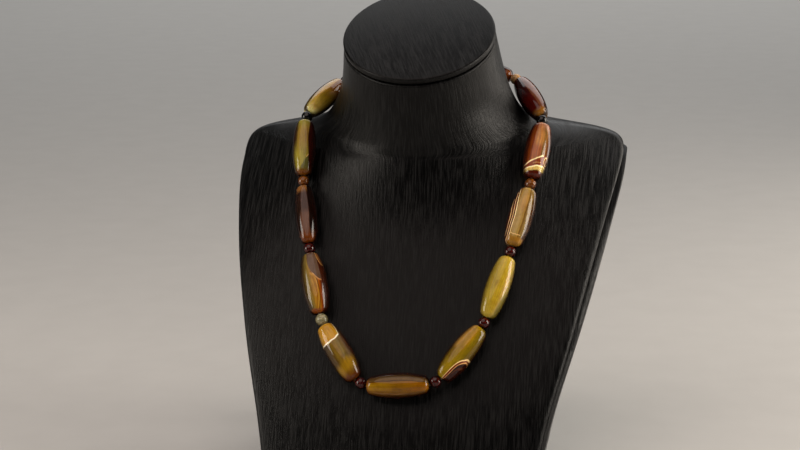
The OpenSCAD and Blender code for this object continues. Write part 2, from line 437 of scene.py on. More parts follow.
def stone_group():
    """A bead's slightly warped places, X across its front and Z along it, painted side shade, lines and
    clouds.
    """
    tree, inlet, sink = new_group(
        "stone",
        "ShaderNodeTree",
        {"Seed": (FLOAT, 0.0), "Warp": (FLOAT, 0.05), "Side Shade Reach": (FLOAT, 0.68)},
        {"X": FLOAT, "Z": FLOAT, "Side": FLOAT, "Lines": FLOAT, "Clouds": FLOAT},
    )
    x, y, z = xyz(add_node(tree, "ShaderNodeAttribute", "Vector", {"attribute_name": "place"}))
    seed = inlet["Seed"]
    pull_x = (noise(joined(x + seed, y, z * 1.6), scale=1.1, detail=1.0) - 0.5) * 4.0
    pull_z = (noise(joined(x - seed, y, z * 1.6), scale=1.1, detail=1.0) - 0.5) * 4.0
    wave = noise(joined(x * 3.0, y * 3.0 + seed, z * 5.0), scale=2.0, detail=3.0, roughness=0.6)
    wave = (wave * 2.0 - 1.0) * RIPPLE
    from_axis = (x * x + y * y + 1e-6).math("SQRT")
    stone_x = x / from_axis + inlet["Warp"] * pull_x + wave
    stone_z = z + inlet["Warp"] * pull_z + wave
    # Painted shade: 0 at the bead's front and rear, growing towards its sides, where the tint is darkened
    side = (1.0 - y.size() / from_axis).fade(SIDE_SHADE_START, inlet["Side Shade Reach"])
    lines = joined(stone_x * 5.0, seed, z * 0.5)
    clouds = joined(x * 1.2, y * 1.2 + seed, z * 2.6 - seed)
    plug(stone_x, sink.inputs["X"])
    plug(stone_z, sink.inputs["Z"])
    plug(side * SIDE_SHADE_STRENGTH, sink.inputs["Side"])
    plug(noise(lines, scale=1.9, detail=4.0, roughness=0.7), sink.inputs["Lines"])
    plug(noise(clouds, scale=1.4, detail=4.0, roughness=0.62), sink.inputs["Clouds"])
    return tree


def band_group():
    """A band along the curve x = Start + Slope z + Bend z z, from one height to another."""
    tree, inlet, sink = new_group(
        "agate_band",
        "ShaderNodeTree",
        {
            "X": (FLOAT, 0.0),
            "Z": (FLOAT, 0.0),
            "Start": (FLOAT, 0.0),
            "Slope": (FLOAT, 0.0),
            "Bend": (FLOAT, 0.0),
            "Width": (FLOAT, 0.1),
            "Soft": (FLOAT, 0.05),
            "From": (FLOAT, -9.0),
            "To": (FLOAT, 9.0),
            "Fading": (FLOAT, 0.1),
            "Strength": (FLOAT, 1.0),
        },
        {"Share": FLOAT},
    )
    z = inlet["Z"]
    middle = inlet["Start"] + inlet["Slope"] * z + inlet["Bend"] * (z * z)
    beyond = (inlet["X"] - middle).size() - inlet["Width"]
    share = 1.0 - beyond.fade(-inlet["Soft"], inlet["Soft"])
    share = share * (z - inlet["From"]).fade(0.0, inlet["Fading"])
    share = share * (inlet["To"] - z).fade(0.0, inlet["Fading"])
    plug(share * inlet["Strength"], sink.inputs["Share"])
    return tree


def ring_group():
    """A ring or a whole disc round a centre, wider or taller by its two sizes."""
    tree, inlet, sink = new_group(
        "agate_ring",
        "ShaderNodeTree",
        {
            "X": (FLOAT, 0.0),
            "Z": (FLOAT, 0.0),
            "Centre X": (FLOAT, 0.0),
            "Centre Z": (FLOAT, 0.0),
            "Size X": (FLOAT, 1.0),
            "Size Z": (FLOAT, 1.0),
            "Low": (FLOAT, -9.0),
            "High": (FLOAT, 1.0),
            "Soft": (FLOAT, 0.05),
            "From": (FLOAT, -9.0),
            "Strength": (FLOAT, 1.0),
        },
        {"Share": FLOAT},
    )
    x = (inlet["X"] - inlet["Centre X"]) / inlet["Size X"]
    z = (inlet["Z"] - inlet["Centre Z"]) / inlet["Size Z"]
    reach = (x * x + z * z).math("SQRT")
    soft = inlet["Soft"]
    share = (reach - inlet["Low"]).fade(-soft, soft) * (inlet["High"] - reach).fade(-soft, soft)
    share = share * (inlet["X"] - inlet["From"]).fade(0.0, 0.15)
    plug(share * inlet["Strength"], sink.inputs["Share"])
    return tree


# Tints are written as they look in soft light; the stone itself is this much lighter
STONE_GAIN = 1.95
CLOUD_TINT = (0.5, 0.4, 0.3, 1.0)


def depth_group():
    """Fine lines and clouds inside an agate, over its layers."""
    tree, inlet, sink = new_group(
        "agate_depth",
        "ShaderNodeTree",
        {
            "Tint": (COLOUR, None),
            "Lines": (FLOAT, 0.5),
            "Clouds": (FLOAT, 0.5),
            "Line Strength": (FLOAT, 0.12),
        },
        {"Tint": COLOUR},
    )
    lines = mixed(tree, inlet["Lines"].fade(0.34, 0.66), shade("#5a3a1c"), shade("#ffe9b8"))
    tint = mixed(tree, inlet["Line Strength"], inlet["Tint"], lines, "OVERLAY")
    tint = mixed(tree, inlet["Clouds"].fade(0.4, 0.75) * 0.5, tint, CLOUD_TINT, "MULTIPLY")
    gain = (STONE_GAIN, STONE_GAIN, STONE_GAIN, 1.0)
    plug(mixed(tree, 1.0, tint, gain, "MULTIPLY"), sink.inputs["Tint"])
    return tree


def new_material(name):
    """A material, its tree and its shader node."""
    material = bpy.data.materials.new(name)
    material.use_nodes = True
    return material, material.node_tree, material.node_tree.nodes["Principled BSDF"]


def stone_material(name, roughness, mirror):
    """A polished stone still to be coloured: the material, its tree and its shader node."""
    material, tree, shader = new_material(name)
    for socket, value in (
        ("Roughness", roughness),
        ("IOR", 1.54),
        ("Specular IOR Level", mirror),
        ("Subsurface Weight", 0.3),
        ("Subsurface Radius", (1.0, 0.65, 0.3)),
        ("Subsurface Scale", 0.004),
    ):
        shader.inputs[socket].default_value = value
    return material, tree, shader


def agate_material(name, groups, recipe):
    """One long bead's own agate: layers, marks over them, fine lines and clouds, and painted side shade."""
    material, tree, shader = stone_material("stone_" + name, roughness=0.08, mirror=0.3)
    own = {key: recipe[key] for key in ("Seed", "Warp", "Side Shade Reach") if key in recipe}
    stone = placed_group(tree, groups["stone"], **own)
    stops = [((place + 1) / 2, tint) for place, tint in recipe["Layers"]]
    tint = ramp(stone["X"] * 0.5 + 0.5, stops)
    for kind, mark_tint, values in recipe["Marks"]:
        # A crosswise band is a lengthwise one with its two directions exchanged
        if kind == "across":
            mark = placed_group(tree, groups["band"], X=stone["Z"], Z=stone["X"], **values)
        else:
            mark = placed_group(tree, groups[kind], X=stone["X"], Z=stone["Z"], **values)
        tint = mixed(tree, mark["Share"], tint, shade(mark_tint))
    inside = {"Tint": tint, "Lines": stone["Lines"], "Clouds": stone["Clouds"]}
    if "Line Strength" in recipe:
        inside["Line Strength"] = recipe["Line Strength"]
    tint = placed_group(tree, groups["depth"], **inside)["Tint"]
    # Painted shade: the tint turns towards a dark tint down the bead's sides
    side_tint = shade(recipe.get("Side Shade Tint", SIDE_SHADE_TINT))
    plug(mixed(tree, stone["Side"], tint, side_tint), shader.inputs["Base Color"])
    return material


def along(tint, low, high, **values):
    """A lengthwise mark between two places across the bead."""
    return "band", tint, {"Start": (low + high) / 2, "Width": (high - low) / 2, **values}


def across(tint, low, high, **values):
    """A crosswise mark between two heights."""
    return "across", tint, {"Start": (low + high) / 2, "Width": (high - low) / 2, **values}


def ring(tint, centre, size, low, high, **values):
    """A curved mark round a centre; low -9 fills it."""
    shape = {"Centre X": centre[0], "Centre Z": centre[1], "Size X": size[0], "Size Z": size[1]}
    return "ring", tint, {**shape, "Low": low, "High": high, **values}


# Places run from -1 to 1 across a bead, its left or upper side first, and along it, its lower or left
# end first; a mark with a bound past -1 or 1 runs to the edge. Layers lie side by side across the bead,
# and marks lie over them in their order. Side Shade Reach is how far the painted side shade comes in.
RECIPES = {
    "long_bead_middle": {
        "Seed": 3.1,
        "Layers": [
            # The grey-beige stops from -0.8 to -0.5 along the top are a painted reflection of the overhead
            # light
            (-0.98, "#1e0c04"), (-0.88, "#2c1806"), (-0.8, "#4a381c"), (-0.5, "#4c3816"), (-0.45, "#2a1803"),
            (-0.38, "#664402"), (-0.1, "#6a4a04"), (0.25, "#664402"), (0.45, "#624202"), (0.6, "#543602"),
            (0.85, "#341802"), (1.0, "#1c0800"),
        ],
        "Line Strength": 0.16,
        "Marks": [
            across("#704202", 0.45, 2, Soft=0.3, From=-0.4, To=0.5, Strength=0.6),
            across("#86680c", -2, -0.2, Soft=0.35, From=-0.4, To=0.4, Strength=0.5),
            along(
                "#946e3c", 0.575, 0.605, Bend=-0.1, Soft=0.02, From=-0.85, To=0.4, Fading=0.3, Strength=0.7
            ),
            across("#5a2c04", -2, -0.9, Strength=0.6),
        ],
        "Side Shade Reach": 0.6,
    },
    "long_bead_right_1": {
        "Seed": 5.4,
        "Layers": [
            (-1.0, "#4a3610"), (-0.6, "#6c541a"), (-0.45, "#725a08"), (-0.1, "#705a08"), (0.15, "#625208"),
            (0.6, "#504008"), (0.98, "#241804"),
        ],
        "Marks": [
            along("#a07c3c", -2, -0.62, Soft=0.1, From=-0.1, Fading=0.3, Strength=0.8),
            ring("#8e6a08", (-0.3, 0.5), (0.25, 0.4), -9, 1.0, Soft=0.6, Strength=0.7),
            across("#7e6e10", -2, -0.3, Soft=0.4, Strength=0.5),
            ring("#5c1c06", (0.85, -1.0), (0.95, 0.9), -9, 1.0, Soft=0.02),
            ring("#e0c08c", (0.85, -1.0), (0.95, 0.9), 0.96, 1.02, Soft=0.025),
            ring("#1e0400", (0.85, -1.0), (0.70, 0.80), -9, 1.0, Soft=0.02),
            ring("#c89860", (0.85, -1.0), (0.70, 0.80), 0.97, 1.02, Soft=0.02),
            ring("#5a2c10", (0.85, -1.0), (0.70, 0.80), 0.70, 0.78, Soft=0.05, Strength=0.5),
        ],
    },
    "long_bead_right_2": {
        "Seed": 7.7,
        "Layers": [
            (-1.0, "#6c5e1c"), (-0.6, "#8a7a2c"), (-0.2, "#948022"), (0.05, "#967e1c"), (0.3, "#8e7820"),
            (0.5, "#a08648"), (0.7, "#8a7832"), (0.95, "#4a3c0c"),
        ],
        "Marks": [
            ring("#4a4410", (0.85, -0.7), (0.45, 0.5), -9, 0.9, Soft=0.5, Strength=0.8),
            across("#a08c40", 0.6, 2, Soft=0.3, Strength=0.4),
            ring("#96801c", (0.05, 0.75), (0.3, 0.3), -9, 0.9, Soft=0.6, Strength=0.5),
            across("#968638", -2, -0.75, Soft=0.2, To=0.6, Strength=0.5),
        ],
        "Side Shade Reach": 0.9,
    },
    "long_bead_right_3": {
        "Seed": 2.3,
        "Warp": 0.03,
        "Layers": [
            (-1.0, "#4a2008"), (-0.6, "#7e6434"), (-0.2, "#8a7442"), (0.12, "#826834"), (0.2, "#543a10"),
            (0.3, "#64502a"), (0.5, "#6e5a30"), (0.62, "#3e2608"), (1.0, "#1e0e04"),
        ],
        "Marks": [
            ring("#946a34", (-0.1, 0.4), (0.25, 0.35), -9, 1.0, Soft=0.6, Strength=0.5),
            along("#3c1004", -3, -0.52, Slope=-0.095, Bend=-0.35, Soft=0.03),
            along("#ecd0a0", -0.575, -0.525, Slope=-0.095, Bend=-0.35, Soft=0.025),
            along("#e0bc8c", -0.735, -0.69, Slope=-0.095, Bend=-0.35, Soft=0.025),
            along("#e0bc8c", -0.885, -0.85, Slope=-0.095, Bend=-0.35, Soft=0.025),
            across("#7a581c", -2, -0.76, Soft=0.06, From=-0.9, To=0.9),
            across("#c0a068", -0.715, -0.69, Bend=0.08, Soft=0.015, From=-0.65, To=0.45),
        ],
        "Side Shade Reach": 1.1,
    },
    "long_bead_right_4": {
        "Seed": 9.2,
        "Warp": 0.03,
        "Line Strength": 0.25,
        "Layers": [
            # Tan centre, -0.4 to 0.15: the stone's tint with a painted reflection of the overhead light on
            # it
            (-1.0, "#341206"), (-0.75, "#481a06"), (-0.6, "#62300e"), (-0.48, "#541e06"), (-0.4, "#7c4a22"),
            (-0.1, "#845e34"), (0.15, "#7c5a32"), (0.22, "#5c4420"), (0.42, "#5c4420"), (0.55, "#6e4a20"),
            (0.7, "#50280a"), (1.0, "#3a1404"),
        ],
        "Marks": [
            ring("#9a6c3a", (0.0, 0.35), (0.3, 0.4), -9, 1.0, Soft=0.5, Strength=0.7),
            across("#7c4630", -0.45, 0.05, Soft=0.15, From=-0.45, To=0.3, Strength=0.8),
            across("#865c4c", 0.7, 2, Soft=0.15, From=-0.5, Strength=0.6),
            across("#642c14", -2, -0.44, Slope=0.26, Soft=0.02),
            across("#b08858", -0.60, -0.57, Slope=0.1, Soft=0.02, From=-0.3, To=0.5, Strength=0.6),
            across("#e8d0a4", -0.46, -0.42, Slope=0.26, Soft=0.02, To=0.6),
            ring("#7a4c24", (0.82, -0.42), (0.17, 0.13), -9, 1.0, Soft=0.1),
            ring("#e8d0a4", (0.82, -0.42), (0.17, 0.13), 0.85, 1.1, Soft=0.15),
            across("#b09c58", -2, -0.70, Slope=0.1, Soft=0.02),
            across("#f0dcb0", -0.72, -0.68, Slope=0.1, Soft=0.02),
            across("#3c0e02", -2, -0.84, Slope=0.06, Soft=0.03),
        ],
    },
    "long_bead_right_5": {
        "Seed": 4.6,
        "Layers": [(-1.0, "#140200"), (-0.3, "#1e0200"), (0.1, "#2c0400"), (0.95, "#281006")],
        "Marks": [
            across("#440602", -2, -0.1, Soft=0.4, Strength=0.7),
            # Lighter band on the right: the stone's tint with a painted reflection of the overhead light on
            # it
            along("#54301e", 0.13, 3, Slope=-0.17, Soft=0.03),
            across("#6e4a18", -2, -0.9, Soft=0.1),
        ],
        "Side Shade Tint": "#180402",
    },
    "long_bead_right_6": {
        "Seed": 8.1,
        "Layers": [(-0.9, "#4a1c08"), (-0.2, "#562410"), (0.2, "#3c1206"), (0.9, "#2a0a04")],
        "Marks": [across("#5a2c0c", -2, -0.8), across("#5a2c0c", 0.8, 2)],
    },
    "long_bead_left_1": {
        "Seed": 1.7,
        "Layers": [
            (-1.0, "#33280c"), (-0.45, "#42300e"), (-0.25, "#5e4a14"), (0.1, "#6c5416"), (0.35, "#60501c"),
            (0.7, "#5a4a34"), (0.95, "#4a2c1c"),
        ],
        "Marks": [
            across("#30200a", -0.42, -0.30, Slope=0.25, Soft=0.08, From=-0.1, To=0.65, Strength=0.45),
            across("#80620c", -0.75, -0.42, Slope=0.1, Soft=0.12, Strength=0.8),
            across("#4e2406", -2, -0.8, Soft=0.2),
            across("#96701e", 0.35, 3, Slope=0.08, Bend=0.08, Soft=0.02),
            along("#4a3c22", 0.58, 3, Slope=0.31, Soft=0.02, From=0.34, Fading=0.12),
            across("#f4ecd4", 0.335, 0.375, Slope=0.08, Bend=0.08, Soft=0.02, To=0.8),
            along("#e8dcb8", 0.565, 0.60, Slope=0.31, Soft=0.02, From=0.42),
        ],
    },
    "long_bead_left_2": {
        "Seed": 6.9,
        "Layers": [
            (-1.0, "#281c08"), (-0.7, "#3a2e12"), (-0.4, "#6a5a2a"), (-0.2, "#7a5a18"), (0.3, "#80580f"),
            (0.42, "#7a3806"), (0.58, "#4a1e04"), (1.0, "#2c0a02"),
        ],
        "Marks": [
            ring("#4a1e04", (-0.6, -0.4), (0.95, 0.74), 0.98, 1.05, Soft=0.04, From=-0.25),
            ring("#9c7428", (-0.6, -0.4), (0.95, 0.74), 0.88, 0.96, Soft=0.05, From=-0.3, Strength=0.8),
            ring("#6e3804", (-0.6, -0.4), (0.95, 0.74), 0.76, 0.80, Soft=0.06, From=-0.3, Strength=0.6),
            ring("#946c22", (-0.6, -0.4), (0.95, 0.74), 0.60, 0.68, Soft=0.06, From=-0.3, Strength=0.6),
            # Mauve-brown cap on top: the stone's tint with a painted reflection of the overhead light on it
            ring("#4c3a2e", (0.5, 1.2), (0.98, 1.25), -9, 0.97, Soft=0.03),
            ring("#b88c58", (0.5, 1.2), (0.98, 1.25), 0.96, 0.99, Soft=0.02, From=-0.15, Strength=0.8),
            along("#2e1004", 0.60, 3, Slope=-0.05, Soft=0.04),
            ring("#5c3a1a", (1.0, 0.9), (0.38, 0.42), -9, 1.0, Soft=0.05),
            ring("#b89058", (1.0, 0.9), (0.38, 0.42), 0.98, 1.06, Soft=0.05, Strength=0.8),
            across("#6a3408", -2, -0.9, Soft=0.05, To=0.4),
        ],
    },
    "long_bead_left_3": {
        "Seed": 3.8,
        "Layers": [
            # Mauve-brown centre, -0.35 to 0.3: the stone's tint with a painted reflection of the overhead
            # light
            (-1.0, "#100804"), (-0.5, "#1c100a"), (-0.35, "#2e1c16"), (0.3, "#2e1a14"), (0.38, "#0e0402"),
            (1.0, "#080200"),
        ],
        "Marks": [
            # Lighter mauve-brown centre: more of the same painted reflection over the stone's tint
            across("#4e3428", -0.75, -0.05, Soft=0.2, From=-0.6, To=0.4, Fading=0.15),
            across("#664420", 0.7, 2, Soft=0.1, From=-0.9, To=0.45),
            across("#5a2c08", -2, -0.76, Soft=0.2),
        ],
        "Side Shade Tint": "#180402",
    },
    "long_bead_left_4": {
        "Seed": 0.6,
        "Layers": [
            # Tan-olive centre band: the stone's tint with a painted reflection of the overhead light on it
            (-1.0, "#1e1204"), (-0.7, "#2a1c08"), (-0.5, "#6e5a22"), (0.0, "#7a6428"), (0.5, "#6e5420"),
            (1.0, "#4a3410"),
        ],
        "Marks": [
            across("#7a7830", 0.68, 2, Soft=0.2, From=-0.8, Strength=0.7),
            across("#7c742a", -2, -0.15, Soft=0.35, From=-1.1, Strength=0.9),
            across("#4c4a22", -2, -0.62, Slope=0.5, Soft=0.05, From=-0.5, Fading=0.3),
            across("#c4a468", -0.64, -0.60, Slope=0.5, Soft=0.02, From=0.2, To=0.75),
            along("#260602", 0.36, 3, Bend=0.32, Soft=0.04),
            across("#5a3406", -2, -0.86, Soft=0.1),
        ],
        "Side Shade Reach": 0.6,
    },
    "long_bead_left_5": {
        "Seed": 5.9,
        "Layers": [
            # Pale left flank, to -0.45: the stone's tint with a painted reflection of the overhead light on
            # it
            (-1.0, "#8c7238"), (-0.45, "#94783c"), (-0.3, "#6e4410"), (0.3, "#582c06"), (1.0, "#3a2404"),
        ],
        "Marks": [
            across("#6a560e", -2, 0.05, Soft=0.4, From=-0.45),
            across("#907c34", -2, -0.55, Soft=0.3),
            across("#b0ac70", -2, -0.92, Soft=0.14),
        ],
    },
    "long_bead_left_6": {
        "Seed": 2.9,
        "Layers": [(-0.9, "#6a5018"), (-0.2, "#7c6424"), (0.2, "#5c3a10"), (0.9, "#401c06")],
        "Marks": [across("#7c5414", -2, -0.8), across("#7c5414", 0.8, 2)],
    },
}

# Dark and light tint of each kind of round bead
BALL_TINTS = {
    "onyx_black": ("#040303", "#0e0c0b"),
    "carnelian_dark": ("#1a0201", "#6a1206"),
    "agate_amber_round": ("#401a04", "#b87020"),
    "agate_smoky_round": ("#565032", "#f0e8bc"),
    "jasper_tan": ("#b08450", "#e8c490"),
}


def ball_material(slot, groups):
    """The cloudy stone of a small round bead; the length of its name sets where its clouds lie."""
    dark, light = BALL_TINTS[slot]
    material, tree, shader = stone_material("stone_" + slot, roughness=0.05, mirror=0.4)
    stone = placed_group(tree, groups["stone"], Seed=len(slot) * 1.7)
    tint = mixed(tree, stone["Clouds"].fade(0.25, 1.0), shade(dark), shade(light))
    # Painted shade: the ball turns towards its dark tint down its sides
    plug(mixed(tree, stone["Side"], tint, shade(dark)), shader.inputs["Base Color"])
    return material


# Bust

RIM_DEPTH = 5
SHELL_GAP = 0.3

# A section is two half outlines, in millimetres and degrees, that meet at its half width on one line.
# A fullness of 0.5 makes half an ellipse, and less is squarer.
HEIGHT, LINE_Y, SLANT, HALF_WIDTH, FRONT_DEPTH, REAR_DEPTH, FRONT_FULLNESS, REAR_FULLNESS = range(8)
SHELL_ROWS = [
    [0, -8.5, 0, 62.5, 7, RIM_DEPTH, 0.8, 0.1],
    [30, 3, 0, 68, 6, RIM_DEPTH, 0.8, 0.1],
    [60, 20, 0, 76.5, 7, RIM_DEPTH, 0.8, 0.1],
    [90, 41.5, 0, 84, 12, RIM_DEPTH, 0.85, 0.1],
    [115, 67, 0, 90, 25, RIM_DEPTH, 0.95, 0.1],
    [132, 91, 0, 94, 44, RIM_DEPTH + 1, 1.1, 0.1],
    [144, 110, 1, 95, 61, 10, 1.2, 0.1],
    [150, 111, 4, 85.5, 61.5, 15, 1.15, 0.25],
    [155, 101, 7, 62.5, 52, 21.7, 0.85, 0.45],
    [160, 89.5, 10, 49, 41, 29.4, 0.68, 0.5],
    [172, 86, 15, 42, 40, 30, 0.6, 0.5],
    [183, 83, 20, 39, 39.5, 30.3, 0.5, 0.5],
    [192, 78, 25, 37.5, 37.5, 33.7, 0.5, 0.5],
    [198, 74.5, 29, 36.5, 36.5, 36.5, 0.5, 0.5],
]
SHELL_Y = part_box("bust_front")[0][1] / MM - (SHELL_ROWS[0][LINE_Y] - SHELL_ROWS[0][FRONT_DEPTH])

# The back's sides swell out over this depth behind its flat face, and its base ends at BASE_REAR
BACK_SWELL = 13
BASE_REAR = 98


def back_row(height, face_y, slant, half_width, rear_y, rear_fullness):
    """One section of the back, from its flat face to its rear."""
    turn = math.radians(slant)
    depth = (rear_y - face_y) / math.cos(turn) - BACK_SWELL
    height += BACK_SWELL * math.sin(turn)
    line_y = face_y + BACK_SWELL * math.cos(turn)
    return [height, line_y, slant, half_width, BACK_SWELL, depth, 0.1, rear_fullness]


def row_behind(shell_row, slant, wider, rear_y, rear_fullness):
    """A section of the back that starts a small gap behind one of the shell's."""
    face_y = shell_row[LINE_Y] + RIM_DEPTH + SHELL_GAP
    half_width = shell_row[HALF_WIDTH] + wider
    return back_row(shell_row[HEIGHT], face_y, slant, half_width, rear_y, rear_fullness)


BACK_ROWS = [
    row_behind(SHELL_ROWS[0], 0, 1.2, BASE_REAR, 0.42),
    row_behind(SHELL_ROWS[1], 0, 1.6, BASE_REAR + 7, 0.4),
    row_behind(SHELL_ROWS[2], 0, 2.2, BASE_REAR + 13, 0.33),
    row_behind(SHELL_ROWS[3], 1, 2.8, BASE_REAR + 19, 0.25),
    row_behind(SHELL_ROWS[4], 6, 3, BASE_REAR + 24, 0.25),
    back_row(126.7, 89.5, 15, 95.8, 123.3, 0.25),
    back_row(134.1, 102.1, 25, 96.3, 123.8, 0.25),
]

# How finely the skins are made
SECTION_STEPS = 9
OUTLINE_SAMPLES = 1441
CORNER_SAMPLES = 25
SMOOTHING_PASSES = 12

# The top edge is rounded by this share of a skin's softness
TOP_ROUNDING_SHARE = 0.35
TOP_ROUNDING_RINGS = 5

# Steeper edges than these, in degrees, stay sharp
BUST_EDGE_ANGLE = 35
FINDING_EDGE_ANGLE = 40

# Above this height the grain turns from straight to round the neck, over this many millimetres
NECK_FOOT = 146
NECK_BLEND = 14
NECK_RADIUS = 40


def smooth_rows(rows):
    """The rows with smooth steps between them."""
    rows = np.array(rows, float)
    result = []
    for i in range(len(rows) - 1):
        before, low = rows[max(i - 1, 0)], rows[i]
        high, after = rows[i + 1], rows[min(i + 2, len(rows) - 1)]
        for t in np.arange(SECTION_STEPS) / SECTION_STEPS:
            bend = 2 * before - 5 * low + 4 * high - after + t * (3 * (low - high) + after - before)
            result.append(low + t / 2 * (high - before + t * bend))
    return result + [rows[-1]]


def half_outline(row, front, count):
    """Evenly spaced points along the front or rear half of one section, from right to left."""
    depth = -row[FRONT_DEPTH] if front else row[REAR_DEPTH]
    fullness = row[FRONT_FULLNESS] if front else row[REAR_FULLNESS]
    angle = np.linspace(0, np.pi, OUTLINE_SAMPLES)
    angle = angle - np.sin(2 * angle) / 2
    x = row[HALF_WIDTH] * np.cos(angle)
    y = depth * np.abs(np.sin(angle)) ** (2 * fullness)
    y[[0, -1]] = 0
    slant = math.radians(row[SLANT])
    points = np.stack([x, row[LINE_Y] + y * math.cos(slant), row[HEIGHT] + y * math.sin(slant)], 1)
    run = np.concatenate([[0], np.cumsum(np.linalg.norm(np.diff(points, axis=0), axis=1))])
    even = np.linspace(0, run[-1], count + 1)
    return np.stack([np.interp(even, run, points[:, axis]) for axis in range(3)], 1)


def softened(ring, reach):
    """An outline with rounded corners: each point is the mean of the outline within reach of it."""
    closed = np.concatenate([ring, ring[:1]])
    run = np.concatenate([[0], np.cumsum(np.linalg.norm(np.diff(closed, axis=0), axis=1))])
    result = np.zeros_like(ring)
    for offset in np.linspace(-reach, reach, CORNER_SAMPLES):
        places = (run[:-1] + offset) % run[-1]
        for axis in range(3):
            result[:, axis] += np.interp(places, run, closed[:, axis]) / CORNER_SAMPLES
    return result


def rounded_top(ring, slant, radius):
    """The rings of a small rounding from just under the top edge onto the top."""
    slant = math.radians(slant)
    normal = np.array([0, -math.sin(slant), math.cos(slant)])
    centre = ring.mean(axis=0)
    inward = centre - ring
    inward /= np.linalg.norm(inward, axis=1)[:, None]
    rings = []
    for turn in np.linspace(0, math.pi / 2, TOP_ROUNDING_RINGS):
        inset = inward * radius * (1 - math.cos(turn))
        drop = normal * radius * (1 - math.sin(turn))
        rings.append(ring + inset - drop)
    return rings


def skin_mesh(name, rows, front_count, rear_count, soft):
    """A closed skin over the sections; "grain" holds places across it, or round the neck, and up it."""
    rings = []
    for row in smooth_rows(rows):
        front = half_outline(row, True, front_count)
        rear = half_outline(row, False, rear_count)
        rings.append(softened(np.concatenate([front, rear[-2:0:-1]]), soft))
    rings = np.array(rings)
    for _ in range(SMOOTHING_PASSES):
        rings[1:-1] = (rings[:-2] + 2 * rings[1:-1] + rings[2:]) / 4
    top = rounded_top(rings[-1], rows[-1][SLANT], soft * TOP_ROUNDING_SHARE)
    rings = np.array([*rings[:-2], *top])
    count = rings.shape[1]
    up = np.linalg.norm(np.diff(rings[:, front_count // 2], axis=0), axis=1)
    up = np.concatenate([[0], np.cumsum(up)])
    front_share = np.linspace(0, 1, front_count + 1)
    round_share = np.concatenate([front_share, np.linspace(1, 0, rear_count + 1)[1:-1]])
    shape = bmesh.new()
    grain = shape.verts.layers.float_vector.new("grain")
    verts = []
    for outline, height in zip(rings, up):
        row_verts = []
        neck = min(max((outline[:, 2].mean() - NECK_FOOT) / NECK_BLEND, 0), 1)
        for point, share in zip(outline, round_share):
            vertex = shape.verts.new((point[0] * MM, (point[1] + SHELL_Y) * MM, point[2] * MM))
            turned = NECK_RADIUS * math.pi * (0.5 - share)
            vertex[grain] = ((point[0] + neck * (turned - point[0])) * MM, height * MM, 0)
            row_verts.append(vertex)
        verts.append(row_verts)
    for low, high in zip(verts, verts[1:]):
        for i in range(count):
            j = (i + 1) % count
            shape.faces.new((low[i], high[i], high[j], low[j]))
    shape.faces.new(verts[0])
    shape.faces.new(list(reversed(verts[-1])))
    return finished_mesh(shape, name, BUST_EDGE_ANGLE)


def finished_mesh(shape, name, edge_angle):
    """A bmesh as a smooth mesh whose steeper edges stay sharp."""
    for face in shape.faces:
        face.smooth = True
    bmesh.ops.recalc_face_normals(shape, faces=shape.faces)
    mesh = bpy.data.meshes.new(name)
    shape.to_mesh(mesh)
    shape.free()
    mesh.set_sharp_from_angle(angle=math.radians(edge_angle))
    return mesh


# The lid, in millimetres above the neck's top
LID_GAP = 0.3
LID_THICKNESS = 4
LID_RADIUS = 36.5
LID_SIDES = 160
GROOVE_HEIGHT = 1.2
GROOVE_RADIUS = 34.5
UNDER_ROUNDING = 0.4
RIM_ROUNDING = 0.9


def lid_profile():
    """Radius and height along the lid's outline: the groove, then the two roundings of its rim."""
    profile = [(0, LID_GAP), (GROOVE_RADIUS, LID_GAP), (GROOVE_RADIUS, GROOVE_HEIGHT)]
    for angle in range(-90, 91, 15):
        turn = math.radians(angle)
        rounding = UNDER_ROUNDING if angle <= 0 else RIM_ROUNDING
        height = GROOVE_HEIGHT + rounding if angle <= 0 else LID_THICKNESS - rounding
        radius = LID_RADIUS - rounding + rounding * math.cos(turn)
        profile.append((radius, height + rounding * math.sin(turn)))
    return [*profile, (0, LID_THICKNESS)]


def lid_mesh():
    """A disc over the groove, turned from its profile and set on the neck's slanted top."""
    shape = bmesh.new()
    grain = shape.verts.layers.float_vector.new("grain")
    top = SHELL_ROWS[-1]
    place = Matrix.Translation((0, (top[LINE_Y] + SHELL_Y) * MM, top[HEIGHT] * MM))
    place = place @ Matrix.Rotation(math.radians(top[SLANT]), 4, "X")
    rings = []
    for radius, height in lid_profile():
        circle = []
        for i in range(LID_SIDES if radius else 1):
            angle = 2 * math.pi * i / LID_SIDES
            spot = Vector((radius * math.cos(angle), radius * math.sin(angle), height)) * MM
            vertex = shape.verts.new(place @ spot)
            vertex[grain] = spot
            circle.append(vertex)
        rings.append(circle)
    for low, high in zip(rings, rings[1:]):
        for i in range(LID_SIDES):
            j = (i + 1) % LID_SIDES
            if len(low) == 1:
                shape.faces.new((low[0], high[i], high[j]))
            elif len(high) == 1:
                shape.faces.new((low[i], low[j], high[0]))
            else:
                shape.faces.new((low[i], low[j], high[j], high[i]))
    return finished_mesh(shape, "bust_lid", BUST_EDGE_ANGLE)


# The cover's tint in its streaks' hollows and on their tops, as shares of the tint it is given
HOLLOW_SHARE = 0.2
TOP_SHARE = 3.0


